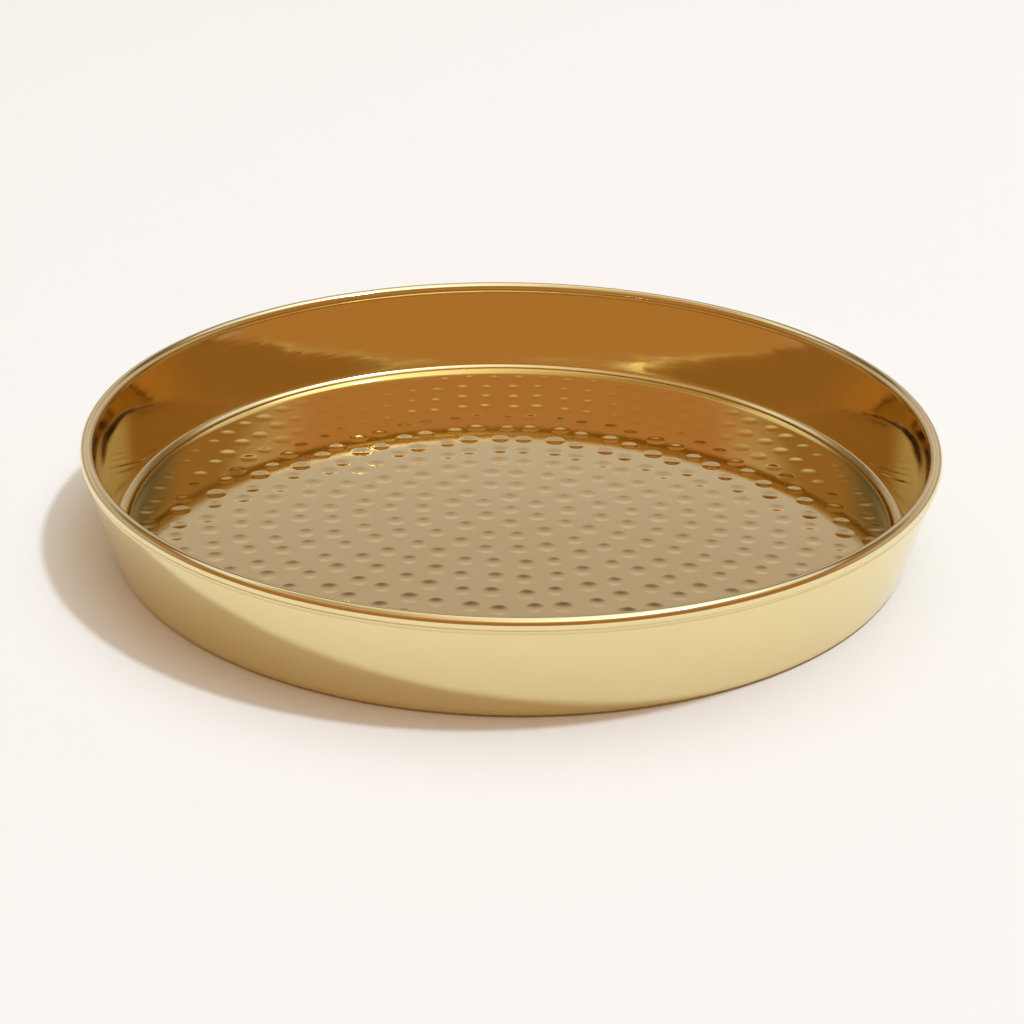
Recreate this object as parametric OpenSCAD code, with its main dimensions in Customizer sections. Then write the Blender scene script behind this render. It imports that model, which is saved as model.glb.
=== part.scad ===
// Thali plate: a flat-bottomed round dish of brass sheet with a hammered floor,
// a plain flared side and an edge rolled inwards over a wire. Millimetres, +Z up.
// The origin is the centre of the underside, in the plane that the plate stands on.

/* [Dish] */
// Diameter over the rolled rim
rim_d = 305; // [220:1:420]
// Height from the underside to the top of the rim
height = 38; // [26:0.5:60]
// Thickness of the brass sheet
sheet = 1; // [0.7:0.1:1.6]
// How far the outside of the rim lies beyond the edge of the flat floor
flare = 15; // [12:0.1:25]
// Radius in which the floor sweeps up towards the corner
sweep_r = 9.3; // [5:0.1:12]
// Slope of the sweep where it runs into the corner, in degrees
sweep_end = 34; // [20:1:45]
// Inside radius of the corner between the sweep and the side
corner_r = 1.5; // [1:0.1:4]
// Outside radius of the corner, where the sheet is gathered thicker
heel_r = 2; // [1:0.1:4]

/* [Rim] */
// Diameter of the wire in the rolled edge
wire_d = 2.4; // [1.5:0.1:4]
// Clearance round the wire inside the roll
wire_gap = 0.1; // [0.05:0.05:0.3]
// Gap between the butt ends of the wire
wire_butt = 0.6; // [0.2:0.1:2]
// How far the roll stands out from the side under it
roll_proud = 0.8; // [0.5:0.1:1.2]
// Height of the neck between the side and the underside of the roll
neck_h = 0.6; // [0.4:0.1:2]
// Where the rolled edge ends, in degrees round the wire from outward over the top
curl_end = 264; // [220:1:268]

/* [Hammer marks] */
// Distance from one ring of marks to the next
ring_pitch = 11; // [9:0.1:20]
// Distance between neighbouring marks along a ring
mark_pitch = 10.8; // [9:0.1:20]
// Diameter of a full hammer mark
mark_d = 8; // [4:0.1:8.4]
// Depth of a full hammer mark
mark_depth = 0.16; // [0.05:0.01:0.3]
// How far a mark strays from its even place
mark_stray = 0.8; // [0:0.1:1]
// Least distance from the outermost ring of marks to the corner
mark_margin = 5; // [5:0.5:20]

/* [Hidden] */

$fn = 180;
// Points along each curved stretch of the side's section
curve_steps = 12;
// How far a cut carries on past the face that it opens
overcut = 0.5;
hammered_brass = "#d9bd78";
polished_brass = "#e4cb8a";
drawn_brass = "#c9a85c";

floor_r = rim_d / 2 - flare;
roll_r = wire_d / 2 + wire_gap + sheet;
roll_centre = [rim_d / 2 - roll_r, height - roll_r];
neck = [rim_d / 2 - roll_proud, height - 2 * roll_r - neck_h];

// The floor sweeps up and turns the corner, and from there the side runs straight to the neck,
// so the side's lean from upright is that of the line from the neck that just touches the corner
sweep_centre = [floor_r, sheet + sweep_r];
corner_centre = sweep_centre + (sweep_r - corner_r) * [sin(sweep_end), -cos(sweep_end)];
to_neck = neck - corner_centre;
lean = atan2(to_neck.x, to_neck.y) - asin((corner_r + sheet) / norm(to_neck));
inner_neck = neck + sheet * [-cos(lean), sin(lean)];
heel_centre = [neck.x - (neck.y - heel_r) * tan(lean) - heel_r / cos(lean), heel_r];

// Points of a section along part of a circle, left out before the first step asked for
function arc(centre, r, start, end, first = 0) =
    [for (i = [first:curve_steps])
        let (angle = start + i * (end - start) / curve_steps)
        centre + r * [cos(angle), sin(angle)]];

// Radius of the hammer's crowned face, from the mark that it leaves
crown_r = (mark_d * mark_d / 4 + mark_depth * mark_depth) / (2 * mark_depth);
// Rings of marks that fit on the floor, and the marks that fit round each of them
ring_count = floor((floor_r - mark_margin) / ring_pitch);
function ring_marks(ring) = ring == 0 ? 1 : round(2 * PI * ring * ring_pitch / mark_pitch);
// An uneven share from -1 to 1 that is the same each time, as for blows placed by hand
function uneven(ring, i, kind) = sin(ring * 197.3 + i * (97.1 + 40.3 * kind));
// Each ring starts half a step round from even, so that its marks lie between those of the next
function mark_place(ring, i) =
    let (angle = (i + ring / 2) * 360 / ring_marks(ring))
    let (outward = [cos(angle), sin(angle)])
    let (round_ring = [-sin(angle), cos(angle)])
    (ring * ring_pitch + mark_stray * uneven(ring, i, 1)) * outward
        + mark_stray * uneven(ring, i, 2) * round_ring;
// Share of the full mark that a lighter blow leaves
function mark_share(ring, i) = 0.92 + 0.08 * uneven(ring, i, 3);

// The hollow that one blow of the crowned hammer leaves, with its edge at z = 0
module hammer_mark() {
    intersection() {
        translate([0, 0, crown_r - mark_depth])
            sphere(crown_r);
        cylinder(d = mark_d + overcut, h = 2 * overcut, center = true);
    }
}

// The flat disc of the floor, struck with the rings of marks out to the given one
module struck_floor(ring) {
    difference() {
        if (ring == 0)
            cylinder(r = floor_r, h = sheet);
        else
            struck_floor(ring - 1);
        for (i = [0:ring_marks(ring) - 1])
            translate(concat(mark_place(ring, i), sheet))
                scale(mark_share(ring, i))
                    hammer_mark();
    }
}

module hammered_floor() {
    color(hammered_brass)
        struck_floor(ring_count);
}

// The sweep, the corner and the side, as one strip of sheet turned round the axis
module side_wall() {
    color(polished_brass)
        rotate_extrude()
            polygon(concat(
                [[floor_r, 0]],
                arc(heel_centre, heel_r, -90, -lean),
                [neck, inner_neck],
                arc(corner_centre, corner_r, -lean, sweep_end - 90),
                arc(sweep_centre, sweep_r, sweep_end - 90, -90, 1)));
}

// The sheet's edge: upright through the neck, out and over the wire and down inside, to an open seam
module rolled_rim() {
    into_roll = [0, neck_h + sheet];
    seam = inner_neck + [0, neck_h] - roll_centre;
    seam_end = 360 + atan2(seam.y, seam.x);
    color(polished_brass)
        rotate_extrude()
            difference() {
                union() {
                    polygon([inner_neck, neck, neck + into_roll, inner_neck + into_roll]);
                    translate(roll_centre)
                        difference() {
                            circle(roll_r);
                            polygon([[0, 0], for (angle = [curl_end, seam_end])
                                2 * roll_r * [cos(angle), sin(angle)]]);
                        }
                }
                translate(roll_centre)
                    circle(roll_r - sheet);
            }
}

module rim_wire() {
    butt_angle = 360 * wire_butt / (2 * PI * roll_centre.x);
    color(drawn_brass)
        rotate(butt_angle / 2)
            rotate_extrude(angle = 360 - butt_angle)
                translate(roll_centre)
                    circle(d = wire_d);
}

hammered_floor();
side_wall();
rolled_rim();
rim_wire();
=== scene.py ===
import math

import bmesh
import bpy
from mathutils import Matrix, Vector


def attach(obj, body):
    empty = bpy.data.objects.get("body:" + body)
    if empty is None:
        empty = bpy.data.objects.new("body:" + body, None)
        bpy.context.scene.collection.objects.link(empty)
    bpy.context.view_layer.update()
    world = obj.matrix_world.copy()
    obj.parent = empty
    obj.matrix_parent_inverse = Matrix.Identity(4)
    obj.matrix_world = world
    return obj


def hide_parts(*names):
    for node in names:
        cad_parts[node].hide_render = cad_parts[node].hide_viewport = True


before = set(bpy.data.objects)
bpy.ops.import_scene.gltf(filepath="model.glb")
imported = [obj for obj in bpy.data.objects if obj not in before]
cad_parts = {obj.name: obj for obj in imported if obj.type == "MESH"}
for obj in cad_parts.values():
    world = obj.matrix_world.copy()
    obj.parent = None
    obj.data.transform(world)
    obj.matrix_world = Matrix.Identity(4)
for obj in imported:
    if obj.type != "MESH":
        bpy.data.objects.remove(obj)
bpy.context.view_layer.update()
bpy.context.scene.view_settings.view_transform = "Standard"

# The hammered floor.
# The flat bottom of the dish is brass sheet, struck from above in rings with a crowned hammer
# over a flat stake, so each blow leaves a shallow hollow with a soft edge, and then buffed.
MM = 0.001
rim_d, height, sheet, flare = 305, 38, 1, 15
floor_r = rim_d / 2 - flare
ring_pitch, mark_pitch, mark_stray, mark_margin = 11, 10.8, 0.8, 5
mark_d, mark_depth = 8, 0.16
ring_count = math.floor((floor_r - mark_margin) / ring_pitch)


def uneven(ring, blow, kind):
    """An uneven share from -1 to 1 that is the same each time, as for blows placed by hand."""
    ring_turn, blow_turn, kind_turn = 197.3, 97.1, 40.3
    return math.sin(math.radians(ring * ring_turn + blow * (blow_turn + kind_turn * kind)))


# Each ring starts half a step round from even, so that its marks lie between those of the next.
# A blow leaves a mark of its own share of the full one.
usual_share, share_stray = 0.92, 0.08
blows, blow_shares = [], []
for ring in range(ring_count + 1):
    count = round(2 * math.pi * ring * ring_pitch / mark_pitch) or 1
    for blow in range(count):
        angle = 2 * math.pi * (blow + ring / 2) / count
        out = Vector((math.cos(angle), math.sin(angle), 0))
        along = Vector((-out.y, out.x, 0))
        place = (ring * ring_pitch + mark_stray * uneven(ring, blow, 1)) * out
        place += mark_stray * uneven(ring, blow, 2) * along
        blows.append(MM * (place + Vector((0, 0, sheet))))
        blow_shares.append(usual_share + share_stray * uneven(ring, blow, 3))


def add(tree, kind, links=(), **settings):
    """Adds a node with its settings.

    Each link is a socket's name or number, with the value, node or output that goes into it.
    """
    node = tree.nodes.new(kind)
    for name, value in settings.items():
        setattr(node, name, value)
    for socket, source in dict(links).items():
        if isinstance(source, bpy.types.Node):
            source = source.outputs[0]
        if isinstance(source, bpy.types.NodeSocket):
            tree.links.new(source, node.inputs[socket])
        else:
            node.inputs[socket].default_value = source
    return node


def linear(code):
    """The linear colour of an sRGB hex value."""
    shares = [int(code[i:i + 2], 16) / 255 for i in (1, 3, 5)]
    return [s / 12.92 if s <= 0.04045 else ((s + 0.055) / 1.055) ** 2.4 for s in shares] + [1]


# Buffed brass, struck: a warm pale mirror, a shade deeper and duller in the hollows that the buff
# only grazes, with a faint haze from wiping and hairlines that run in all directions.
hollow_tint, hollow_dulling = 0.5, 0.03
struck_brass = bpy.data.materials.new("buffed brass, hammer struck")
struck_brass.use_nodes = True
tree = struck_brass.node_tree
tree.nodes.clear()
place = add(tree, "ShaderNodeTexCoord").outputs["Object"]
haze = add(tree, "ShaderNodeTexNoise", {"Vector": place, "Scale": 1 / (45 * MM), "Detail": 4.0})
hollow = add(tree, "ShaderNodeAttribute", attribute_name="struck").outputs["Fac"]
tone = add(tree, "ShaderNodeMix", {
    "Factor": haze, "A": linear("#efe0ae"), "B": linear("#ead9a0")}, data_type="RGBA").outputs["Result"]
deep = add(tree, "ShaderNodeMath", {0: hollow, 1: hollow_tint}, operation="MULTIPLY")
tone = add(tree, "ShaderNodeMix", {
    "Factor": deep, "A": tone, "B": linear("#e3c988")}, data_type="RGBA").outputs["Result"]
dull = add(tree, "ShaderNodeMapRange", {
    "Value": haze, "From Min": 0.35, "From Max": 0.7, "To Min": 0.03, "To Max": 0.08})
dull = add(tree, "ShaderNodeMath", {0: hollow, 1: hollow_dulling, 2: dull}, operation="MULTIPLY_ADD")
hair = add(tree, "ShaderNodeTexNoise", {
    "Vector": place, "Scale": 1 / (1.2 * MM), "Detail": 2.0, "Distortion": 2.0})
relief = add(tree, "ShaderNodeBump", {"Strength": 0.02, "Distance": 0.2 * MM, "Height": hair})
face = add(tree, "ShaderNodeBsdfPrincipled", {
    "Base Color": tone, "Metallic": 1.0, "Roughness": dull, "Normal": relief})
add(tree, "ShaderNodeOutputMaterial", {"Surface": face})

# One blow is a dished patch of 16 sides: rings that crowd towards its edge, and a flat collar round it
tree = bpy.data.node_groups.new("floor struck in rings", "GeometryNodeTree")
tree.is_modifier = True
tree.interface.new_socket("Blows", in_out="INPUT", socket_type="NodeSocketGeometry")
tree.interface.new_socket("Floor", in_out="OUTPUT", socket_type="NodeSocketGeometry")
sizes = {
    "Floor radius": floor_r, "Sheet thickness": sheet, "Mark radius": mark_d / 2, "Mark depth": mark_depth}
for name in sizes:
    tree.interface.new_socket(name, in_out="INPUT", socket_type="NodeSocketFloat")
given = add(tree, "NodeGroupInput").outputs
patch_sides, patch_bands, floor_sides = 16, 4, 360
disc = add(tree, "GeometryNodeMeshCone", {
    "Vertices": patch_sides, "Side Segments": patch_bands,
    "Radius Top": 0.0, "Radius Bottom": 1.0, "Depth": 1.0}, fill_type="NONE")
spot = add(tree, "GeometryNodeInputPosition")
flattened = add(tree, "ShaderNodeVectorMath", {0: spot, 1: (1, 1, 0)}, operation="MULTIPLY")
reach = add(tree, "ShaderNodeVectorMath", {0: flattened}, operation="LENGTH").outputs["Value"]
turn = add(tree, "ShaderNodeMath", {0: reach, 1: math.pi / 2}, operation="MULTIPLY")
spread = add(tree, "ShaderNodeMath", {0: turn}, operation="SINE")
collar = math.sin(math.pi / 2 * (patch_bands - 1) / patch_bands)
spread = add(tree, "ShaderNodeMath", {0: spread, 1: collar}, operation="DIVIDE")
within = add(tree, "ShaderNodeMath", {0: spread, 1: spread}, operation="MULTIPLY")
within = add(tree, "ShaderNodeMath", {0: 1.0, 1: within}, operation="SUBTRACT")
within = add(tree, "ShaderNodeMath", {0: within, 1: 0.0}, operation="MAXIMUM")
# A power above 1 eases the dish out into the flat sheet at its edge
edge_ease = 1.4
dish = add(tree, "ShaderNodeMath", {0: within, 1: edge_ease}, operation="POWER")
drop = add(tree, "ShaderNodeMath", {0: dish, 1: given["Mark depth"]}, operation="MULTIPLY")
drop = add(tree, "ShaderNodeMath", {0: drop, 1: -1.0}, operation="MULTIPLY")
outward = add(tree, "ShaderNodeVectorMath", {0: flattened}, operation="NORMALIZE")
across = add(tree, "ShaderNodeMath", {0: spread, 1: given["Mark radius"]}, operation="MULTIPLY")
flat = add(tree, "ShaderNodeVectorMath", {0: outward, "Scale": across}, operation="SCALE")
sunk = add(tree, "ShaderNodeCombineXYZ", {"Z": drop})
shaped = add(tree, "ShaderNodeVectorMath", {0: flat, 1: sunk}, operation="ADD")
kept = add(tree, "GeometryNodeStoreNamedAttribute", {
    "Geometry": disc.outputs["Mesh"], "Name": "struck", "Value": dish}, data_type="FLOAT", domain="POINT")
patch = add(tree, "GeometryNodeSetPosition", {"Geometry": kept, "Position": shaped})
share = add(tree, "GeometryNodeInputNamedAttribute", {"Name": "share"}, data_type="FLOAT")
struck = add(tree, "GeometryNodeInstanceOnPoints", {
    "Points": given["Blows"], "Instance": patch, "Scale": share.outputs["Attribute"]})
struck = add(tree, "GeometryNodeRealizeInstances", {"Geometry": struck})
# The flat sheet between the blows fills the floor's circle, with a hole for each patch
faces = add(tree, "GeometryNodeInputMeshEdgeNeighbors")
patch_edge = add(tree, "FunctionNodeCompare", {"A": faces, "B": 1}, data_type="INT", operation="EQUAL")
holes = add(tree, "GeometryNodeMeshToCurve", {"Mesh": struck, "Selection": patch_edge})
floor_edge = add(tree, "GeometryNodeCurvePrimitiveCircle", {
    "Resolution": floor_sides, "Radius": given["Floor radius"]})
outlines = add(tree, "GeometryNodeJoinGeometry")
for outline in (holes, floor_edge):
    tree.links.new(outline.outputs[0], outlines.inputs[0])
between = add(tree, "GeometryNodeFillCurve", {"Curve": outlines})
lift = add(tree, "ShaderNodeCombineXYZ", {"Z": given["Sheet thickness"]})
between = add(tree, "GeometryNodeSetPosition", {"Geometry": between, "Offset": lift})
top = add(tree, "GeometryNodeJoinGeometry")
for sheet_part in (struck, between):
    tree.links.new(sheet_part.outputs[0], top.inputs[0])
top = add(tree, "GeometryNodeSetShadeSmooth", {"Geometry": top, "Shade Smooth": True})
# The underside is a plain disc, drawn down from the floor's edge by the thickness of the sheet
under = add(tree, "GeometryNodeMeshCircle", {
    "Vertices": floor_sides, "Radius": given["Floor radius"]}, fill_type="NGON")
under = add(tree, "GeometryNodeSetPosition", {"Geometry": under, "Offset": lift})
down = add(tree, "ShaderNodeVectorMath", {0: lift, "Scale": -1.0}, operation="SCALE")
under = add(tree, "GeometryNodeExtrudeMesh", {
    "Mesh": under, "Offset": down, "Offset Scale": 1.0, "Individual": False})
under = add(tree, "GeometryNodeSetShadeSmooth", {"Geometry": under, "Shade Smooth": False})
whole = add(tree, "GeometryNodeJoinGeometry")
for part in (top, under):
    tree.links.new(part.outputs[0], whole.inputs[0])
weld = 0.002 * MM
whole = add(tree, "GeometryNodeMergeByDistance", {"Geometry": whole, "Distance": weld})
whole = add(tree, "GeometryNodeSetMaterial", {"Geometry": whole, "Material": struck_brass})
add(tree, "NodeGroupOutput", {"Floor": whole})

points = bpy.data.meshes.new("blows")
points.from_pydata(blows, [], [])
points.attributes.new("share", "FLOAT", "POINT").data.foreach_set("value", blow_shares)
hammered_floor = bpy.data.objects.new("struck_floor", points)
bpy.context.scene.collection.objects.link(hammered_floor)
striking = hammered_floor.modifiers.new("striking", "NODES")
striking.node_group = tree
for item in tree.interface.items_tree:
    if item.name in sizes:
        striking[item.identifier] = sizes[item.name] * MM
evaluated = hammered_floor.evaluated_get(bpy.context.evaluated_depsgraph_get())
made = bpy.data.meshes.new_from_object(evaluated)
hammered_floor.modifiers.clear()
hammered_floor.data = made
shell = bmesh.new()
shell.from_mesh(made)
bmesh.ops.recalc_face_normals(shell, faces=shell.faces)
shell.to_mesh(made)
shell.free()
sharp_from = math.radians(40)
made.set_sharp_from_angle(angle=sharp_from)
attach(hammered_floor, "root")
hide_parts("hammered_floor")

# The side.
# The same sheet sweeps up from the floor, turns a tight corner and is spun over a former into a low
# straight side that leans out, then polished on the lathe, so fine lines and ripples run round it.
sweep_r, sweep_end, corner_r, heel_r = 9.3, math.radians(34), 1.5, 2
wire_d, wire_gap, roll_proud, neck_h = 2.4, 0.1, 0.8, 0.6
roll_r = wire_d / 2 + wire_gap + sheet
neck = Vector((rim_d / 2 - roll_proud, height - 2 * roll_r - neck_h))
sweep = Vector((floor_r, sheet + sweep_r))
corner = sweep + (sweep_r - corner_r) * Vector((math.sin(sweep_end), -math.cos(sweep_end)))
# The side's line just touches the corner's round, which gives its lean from upright
to_neck = neck - corner
lean = math.atan2(to_neck.x, to_neck.y) - math.asin((corner_r + sheet) / to_neck.length)
inner_neck = neck + sheet * Vector((-math.cos(lean), math.sin(lean)))
heel = Vector((neck.x - (neck.y - heel_r) * math.tan(lean) - heel_r / math.cos(lean), heel_r))


def arc(centre, radius, start, end, steps):
    """Points of a section along part of a circle, in millimetres out from the axis and up."""
    turns = [start + (end - start) * i / steps for i in range(steps + 1)]
    return [centre + radius * Vector((math.cos(t), math.sin(t))) for t in turns]


def turned(name, section, material, ripple=0.0):
    """A closed section, in millimetres out and up, turned round the axis, with slight ripples round it."""
    steps = 480
    # How many of each ripple go round the plate, their share of the depth and where they start
    ripples = ((11, 1.0, 0.7), (19, 0.6, 2.1), (31, 0.4, 4.0))
    low, high = min(p.y for p in section), max(p.y for p in section)
    shell = bmesh.new()
    rings = []
    for step in range(steps):
        turn = 2 * math.pi * step / steps
        wave = sum(share * math.sin(count * turn + start) for count, share, start in ripples)
        ring = []
        for p in section:
            out = p.x + ripple * wave * math.sin(math.pi * (p.y - low) / (high - low))
            ring.append(shell.verts.new(MM * Vector((out * math.cos(turn), out * math.sin(turn), p.y))))
        rings.append(ring)
    for one, following in zip(rings, rings[1:] + rings[:1]):
        for i in range(len(section)):
            shell.faces.new((one[i - 1], one[i], following[i], following[i - 1])).smooth = True
    bmesh.ops.recalc_face_normals(shell, faces=shell.faces)
    mesh = bpy.data.meshes.new(name)
    shell.to_mesh(mesh)
    shell.free()
    mesh.set_sharp_from_angle(angle=sharp_from)
    mesh.materials.append(material)
    piece = bpy.data.objects.new(name, mesh)
    bpy.context.scene.collection.objects.link(piece)
    return piece


# Lathe-polished brass: a warm pale mirror with hairlines that run round it, ripples a few millimetres
# high that break up what it mirrors, and painted shade in the corner with the floor, a browner tone
# that darkens the corner as shade would, with a little old polish left there too.
# Heights in that corner: where the painted shade and old polish thin out and end, and where the duller
# band that the lathe's buff doesn't reach starts, is full, thins out and ends.
corner_shade_thins, corner_shade_ends = 1.2 * MM, 3.0 * MM
band_starts, band_full, band_thins, band_ends = 1.2 * MM, 2.2 * MM, 3.2 * MM, 5.0 * MM
spun_brass = bpy.data.materials.new("lathe-polished brass, spun")
spun_brass.use_nodes = True
tree = spun_brass.node_tree
tree.nodes.clear()
place = add(tree, "ShaderNodeTexCoord").outputs["Object"]
haze = add(tree, "ShaderNodeTexNoise", {"Vector": place, "Scale": 1 / (40 * MM), "Detail": 4.0})
tone = add(tree, "ShaderNodeMix", {
    "Factor": haze, "A": linear("#efe0ae"), "B": linear("#ead9a0")}, data_type="RGBA").outputs["Result"]
rise = add(tree, "ShaderNodeSeparateXYZ", {"Vector": place}).outputs["Z"]
# Painted shade with old polish: the tone turns browner low in the corner with the floor.
corner_shade_and_old_polish = add(tree, "ShaderNodeMapRange", {
    "Value": rise, "From Min": corner_shade_thins, "From Max": corner_shade_ends, "To Min": 0.2, "To Max": 0.0})
tone = add(tree, "ShaderNodeMix", {
    "Factor": corner_shade_and_old_polish, "A": tone, "B": linear("#b98f45")}, data_type="RGBA").outputs["Result"]
stretched = add(tree, "ShaderNodeMapping", {"Vector": place, "Scale": (1, 1, 5)})
ripples = add(tree, "ShaderNodeTexNoise", {"Vector": stretched, "Scale": 1 / (18 * MM), "Detail": 1.0})
lathe = add(tree, "ShaderNodeMapping", {"Vector": place, "Scale": (0.02, 0.02, 1)})
lines = add(tree, "ShaderNodeTexNoise", {"Vector": lathe, "Scale": 1 / (0.5 * MM), "Detail": 2.0})
dull = add(tree, "ShaderNodeMapRange", {
    "Value": lines, "From Min": 0.3, "From Max": 0.75, "To Min": 0.03, "To Max": 0.1})
unreached = add(tree, "ShaderNodeMapRange", {
    "Value": rise, "From Min": band_thins, "From Max": band_ends, "To Min": 0.1, "To Max": 0.0})
in_band = add(tree, "ShaderNodeMapRange", {
    "Value": rise, "From Min": band_starts, "From Max": band_full, "To Min": 0.0, "To Max": 1.0})
dull = add(tree, "ShaderNodeMath", {0: unreached, 1: in_band, 2: dull}, operation="MULTIPLY_ADD")
relief = add(tree, "ShaderNodeBump", {"Strength": 0.06, "Distance": 0.25 * MM, "Height": ripples})
relief = add(tree, "ShaderNodeBump", {
    "Strength": 0.02, "Distance": 0.1 * MM, "Height": lines, "Normal": relief})
face = add(tree, "ShaderNodeBsdfPrincipled", {
    "Base Color": tone, "Metallic": 1.0, "Roughness": dull, "Normal": relief})
add(tree, "ShaderNodeOutputMaterial", {"Surface": face})

straight_down, wall_steps = -math.pi / 2, 16
outside = arc(heel, heel_r, straight_down, -lean, steps=12)
inside = arc(corner, corner_r, -lean, straight_down + sweep_end, steps=12)
inside += arc(sweep, sweep_r, straight_down + sweep_end, straight_down, steps=24)[1:]
section = [Vector((floor_r, 0))] + outside
section += [outside[-1].lerp(neck, i / wall_steps) for i in range(1, wall_steps + 1)]
section += [inner_neck.lerp(inside[0], i / wall_steps) for i in range(wall_steps)] + inside
side = turned("spun_side", section, spun_brass, ripple=0.03)
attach(side, "root")
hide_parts("side_wall")

# The rolled rim.
# The edge of the sheet is carried up through a short neck, then rolled inwards over a wire until
# it all but meets the neck again, which leaves a hairline seam under the roll on the inside.
curl_end = math.radians(280)
roll = Vector((rim_d / 2 - roll_r, height - roll_r))
seam = inner_neck + Vector((0, neck_h))
seam_end = math.atan2(seam.y - roll.y, seam.x - roll.x)
# The neck stands upright, and its outer face runs into the round of the roll
curl_start = -math.acos((neck.x - roll.x) / roll_r)

# Rolled and buffed brass: the brightest of the plate on its crown, where hands and cloths rub it,
# with hairlines that run along it, and a darker line of painted shade in the neck and the seam under
# the roll, with tarnish there too, which thins out between two heights.
neck_shade_thins, neck_shade_ends, tarnish_dulling = 33.2 * MM, 34.1 * MM, 0.15
rolled_brass = bpy.data.materials.new("buffed brass, rolled edge")
rolled_brass.use_nodes = True
tree = rolled_brass.node_tree
tree.nodes.clear()
place = add(tree, "ShaderNodeTexCoord").outputs["Object"]
haze = add(tree, "ShaderNodeTexNoise", {"Vector": place, "Scale": 1 / (25 * MM), "Detail": 4.0})
tone = add(tree, "ShaderNodeMix", {
    "Factor": haze, "A": linear("#f0e2b1"), "B": linear("#ebdaa3")}, data_type="RGBA").outputs["Result"]
rise = add(tree, "ShaderNodeSeparateXYZ", {"Vector": place}).outputs["Z"]
# Painted shade with tarnish: the tone turns browner in the neck and the seam under the roll.
neck_shade_and_tarnish = add(tree, "ShaderNodeMapRange", {
    "Value": rise, "From Min": neck_shade_thins, "From Max": neck_shade_ends, "To Min": 0.3, "To Max": 0.0})
tone = add(tree, "ShaderNodeMix", {
    "Factor": neck_shade_and_tarnish, "A": tone, "B": linear("#a57c3a")}, data_type="RGBA").outputs["Result"]
lathe = add(tree, "ShaderNodeMapping", {"Vector": place, "Scale": (0.02, 0.02, 1)})
lines = add(tree, "ShaderNodeTexNoise", {"Vector": lathe, "Scale": 1 / (0.4 * MM), "Detail": 2.0})
dull = add(tree, "ShaderNodeMapRange", {
    "Value": lines, "From Min": 0.3, "From Max": 0.75, "To Min": 0.04, "To Max": 0.11})
dull = add(tree, "ShaderNodeMath", {0: neck_shade_and_tarnish, 1: tarnish_dulling, 2: dull}, operation="MULTIPLY_ADD")
relief = add(tree, "ShaderNodeBump", {"Strength": 0.03, "Distance": 0.1 * MM, "Height": lines})
face = add(tree, "ShaderNodeBsdfPrincipled", {
    "Base Color": tone, "Metallic": 1.0, "Roughness": dull, "Normal": relief})
add(tree, "ShaderNodeOutputMaterial", {"Surface": face})

section = [neck] + arc(roll, roll_r, curl_start, curl_end, steps=44)
section += arc(roll, roll_r - sheet, curl_end, seam_end, steps=30) + [seam, inner_neck]
rolled_rim = turned("rolled_rim_shell", section, rolled_brass)
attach(rolled_rim, "root")
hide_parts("rolled_rim")

# The wire in the rim.
# A length of hard-drawn brass wire, bent to a ring with its ends butted, stiffens the rolled edge.
# It lies inside the roll, where the hairline seam all but hides it.

# Drawn brass: duller and redder than the polished sheet, with die lines along its length
drawn_brass = bpy.data.materials.new("drawn brass wire")
drawn_brass.use_nodes = True
tree = drawn_brass.node_tree
tree.nodes.clear()
place = add(tree, "ShaderNodeTexCoord").outputs["Object"]
along = add(tree, "ShaderNodeMapping", {"Vector": place, "Scale": (0.03, 0.03, 1)})
lines = add(tree, "ShaderNodeTexNoise", {"Vector": along, "Scale": 1 / (0.3 * MM), "Detail": 3.0})
tone = add(tree, "ShaderNodeMix", {
    "Factor": lines, "A": linear("#d9bd80"), "B": linear("#b8924e")}, data_type="RGBA").outputs["Result"]
dull = add(tree, "ShaderNodeMapRange", {
    "Value": lines, "From Min": 0.3, "From Max": 0.7, "To Min": 0.25, "To Max": 0.45})
relief = add(tree, "ShaderNodeBump", {"Strength": 0.1, "Distance": 0.05 * MM, "Height": lines})
face = add(tree, "ShaderNodeBsdfPrincipled", {
    "Base Color": tone, "Metallic": 1.0, "Roughness": dull, "Normal": relief})
add(tree, "ShaderNodeOutputMaterial", {"Surface": face})
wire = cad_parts["rim_wire"]
wire.data.materials.clear()
wire.data.materials.append(drawn_brass)

# The stage: a wide pale floor, soft studio light and the camera.
# The plate is a mirror, so the light is a room of soft tones by direction: a pale lit wall ahead with
# a dim band over it, a warm brown end behind the camera and a bright soft top over all.
pale = bpy.data.materials.new("pale floor")
pale.use_nodes = True
tree = pale.node_tree
tree.nodes.clear()
matt = add(tree, "ShaderNodeBsdfDiffuse", {"Color": linear("#f8fcfc")})
add(tree, "ShaderNodeOutputMaterial", {"Surface": matt})
ground = bpy.data.meshes.new("pale_ground")
half_width, below = 30, -0.2 * MM
corners = [(x * half_width, y * half_width, below) for x, y in ((-1, -1), (1, -1), (1, 1), (-1, 1))]
ground.from_pydata(corners, [], [(0, 1, 2, 3)])
ground.materials.append(pale)
ground = bpy.data.objects.new("pale_ground", ground)
bpy.context.scene.collection.objects.link(ground)

studio = bpy.data.worlds.new("soft studio")
studio.use_nodes = True
tree = studio.node_tree
tree.nodes.clear()
direction = add(tree, "ShaderNodeTexCoord").outputs["Generated"]
looking = add(tree, "ShaderNodeSeparateXYZ", {"Vector": direction})
raised = add(tree, "ShaderNodeMath", {0: looking.outputs["Z"]}, operation="ARCSINE")
raised = add(tree, "ShaderNodeMath", {0: raised, 1: math.pi / 2}, operation="DIVIDE")
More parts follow.
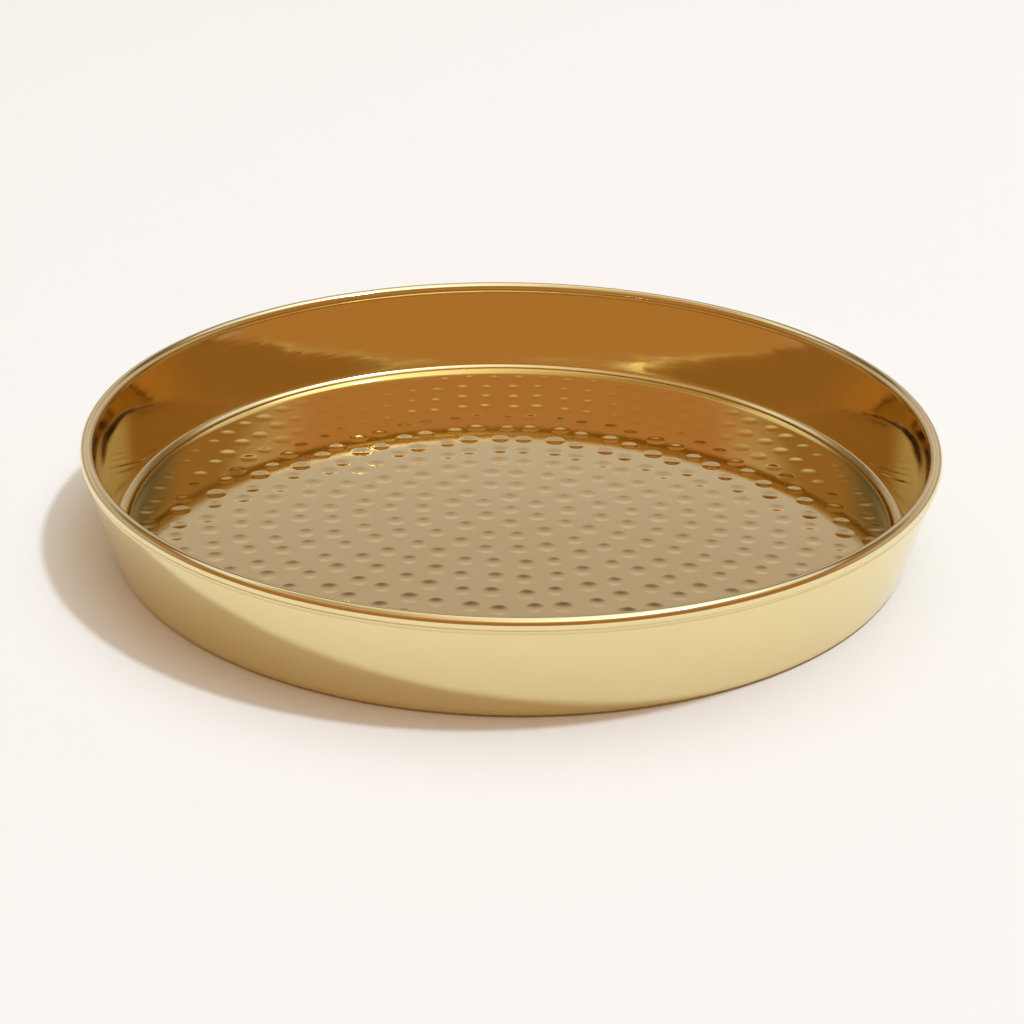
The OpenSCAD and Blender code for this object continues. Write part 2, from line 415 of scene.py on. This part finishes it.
# Degrees above the horizon and the room's tone there: ahead of the camera, to the sides and behind it
zenith = 90
ahead = ((0, "#b6aaa6"), (14, "#b6aaa6"), (17, "#d7cbc7"), (21, "#d7cbc7"), (26, "#c2b3af"),
         (29, "#c0b1ac"), (34, "#6e6459"), (41, "#6e6459"), (46.5, "#eef1f6"), (54, "#ffffff"))
aside = ((0, "#b6aaa6"), (14, "#b6aaa6"), (17, "#ccc0b8"), (26, "#bcaea0"), (34, "#a47c4c"),
         (42, "#a47c4c"), (47, "#eef1f6"), (54, "#ffffff"))
behind = ((0, "#b68044"), (12, "#b68044"), (18, "#a0764a"), (33, "#a0764a"), (39, "#c3906b"),
          (53.5, "#c3906b"), (58, "#ffffff"))
walls = []
for tones in (ahead, aside, behind):
    ramp = add(tree, "ShaderNodeValToRGB", {"Fac": raised})
    while len(ramp.color_ramp.elements) < len(tones):
        ramp.color_ramp.elements.new(1.0)
    for stop, (degrees, code) in zip(ramp.color_ramp.elements, tones):
        stop.position, stop.color = degrees / zenith, linear(code)
    walls.append(ramp.outputs["Color"])
# How far round from ahead one wall passes into the next, as the share of the look that is along +Y
passages = ((0.75, 0.5), (0.3, -0.2))
room = walls[0]
for wall, (first, last) in zip(walls[1:], passages):
    passed = add(tree, "ShaderNodeMapRange", {
        "Value": looking.outputs["Y"], "From Min": first, "From Max": last, "To Min": 0.0, "To Max": 1.0},
        interpolation_type="SMOOTHSTEP")
    room = add(tree, "ShaderNodeMix", {
        "Factor": passed, "A": room, "B": wall}, data_type="RGBA").outputs["Result"]
# The soft top is bright and white on the key lamp's side and dims to a warm tone on the other.
# Degrees between which it takes over from the walls, and how far to the sides it goes on changing.
top_starts, top_full, top_side = 54, 60, 0.35
dim_power, bright_power = 0.8, 2.2
overhead = add(tree, "ShaderNodeMapRange", {
    "Value": raised, "From Min": top_starts / zenith, "From Max": top_full / zenith,
    "To Min": 0.0, "To Max": 1.0})
lit = add(tree, "ShaderNodeMapRange", {
    "Value": looking.outputs["X"], "From Min": -top_side, "From Max": top_side, "To Min": 0.0, "To Max": 1.0})
top_tone = add(tree, "ShaderNodeMix", {
    "Factor": lit, "A": linear("#d6bb92"), "B": linear("#f3f7ff")}, data_type="RGBA").outputs["Result"]
room = add(tree, "ShaderNodeMix", {
    "Factor": overhead, "A": room, "B": top_tone}, data_type="RGBA").outputs["Result"]
top_power = add(tree, "ShaderNodeMapRange", {
    "Value": lit, "From Min": 0.0, "From Max": 1.0, "To Min": dim_power, "To Max": bright_power})
power = add(tree, "ShaderNodeMapRange", {
    "Value": overhead, "From Min": 0.0, "From Max": 1.0, "To Min": 1.0, "To Max": top_power})
glow = add(tree, "ShaderNodeBackground", {"Color": room, "Strength": power})
add(tree, "ShaderNodeOutputWorld", {"Surface": glow})
bpy.context.scene.world = studio

# A small key lamp high on the right, and the light that it gives a level white floor
elevation, bearing, away, light_given = math.radians(66), math.radians(98), 6.4, 0.34
level_part = math.cos(elevation)
toward = Vector((level_part * math.sin(bearing), level_part * math.cos(bearing), math.sin(elevation)))
key = bpy.data.lights.new("key_lamp", "AREA")
key.shape, key.size, key.color = "DISK", 0.5, (0.88, 1.0, 1.1)
key.energy = light_given * math.pi**2 * away**2 / toward.z
key = bpy.data.objects.new("key_lamp", key)
bpy.context.scene.collection.objects.link(key)
key.location = away * toward
key.rotation_euler = toward.to_track_quat("Z", "Y").to_euler()

# The camera looks at the middle of the underside from the front, a little rolled
camera = bpy.data.cameras.new("camera")
camera.sensor_width, camera.lens = 36, 66.9
camera = bpy.data.objects.new("camera", camera)
bpy.context.scene.collection.objects.link(camera)
tilt, roll_angle, far = math.radians(25.51), math.radians(0.86), 0.7015
back = Vector((0, -math.cos(tilt), math.sin(tilt)))
right = Vector((1, 0, 0))
upward = back.cross(right)
aim = 0.5 * MM * right
leaning = Matrix.Rotation(roll_angle, 3, back)
right, upward = leaning @ right, leaning @ upward
facing = Matrix((right, upward, back)).transposed().to_4x4()
camera.matrix_world = Matrix.Translation(aim + far * back) @ facing
bpy.context.scene.camera = camera
